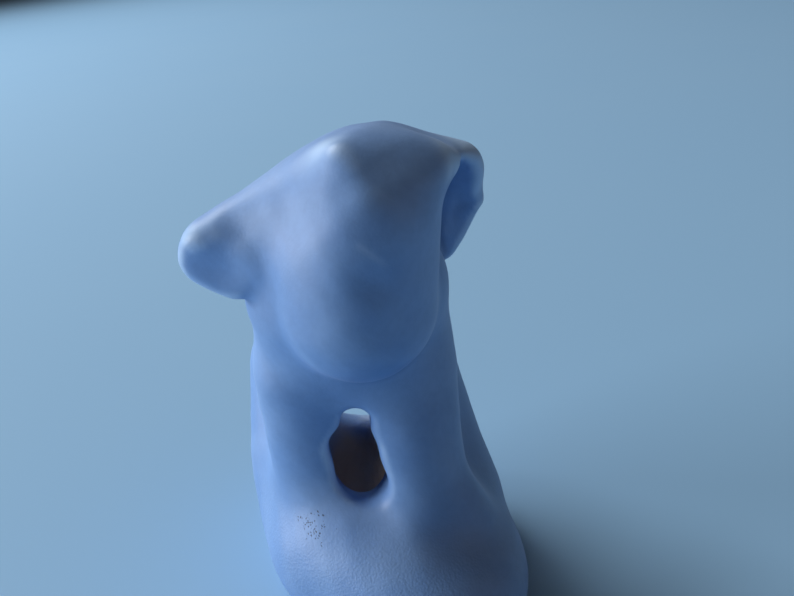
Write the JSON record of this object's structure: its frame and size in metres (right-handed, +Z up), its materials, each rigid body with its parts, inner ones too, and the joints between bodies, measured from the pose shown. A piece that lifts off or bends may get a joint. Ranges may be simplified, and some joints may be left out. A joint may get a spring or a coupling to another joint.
{
  "type": "ceramic elephant figurine",
  "caption": "Small stylised standing elephant in satin periwinkle-blue glazed ceramic, with spread ears, a broad blunt trunk and an opening under the belly, on its own low rounded base.",
  "frame": {"origin": "middle of the bounding box at the underside, where the flat foot of the base meets the table", "axes": "+Z up; the elephant faces -Y, so its own left side is +X"},
  "size_m": [0.0494, 0.0644, 0.0862],
  "materials": {
    "blue_glaze": "satin glaze, periwinkle blue, thinner and paler on sharp edges"
  },
  "bodies": {
    "root": {"elephant": "blue_glaze"}
  },
  "joints": []
}
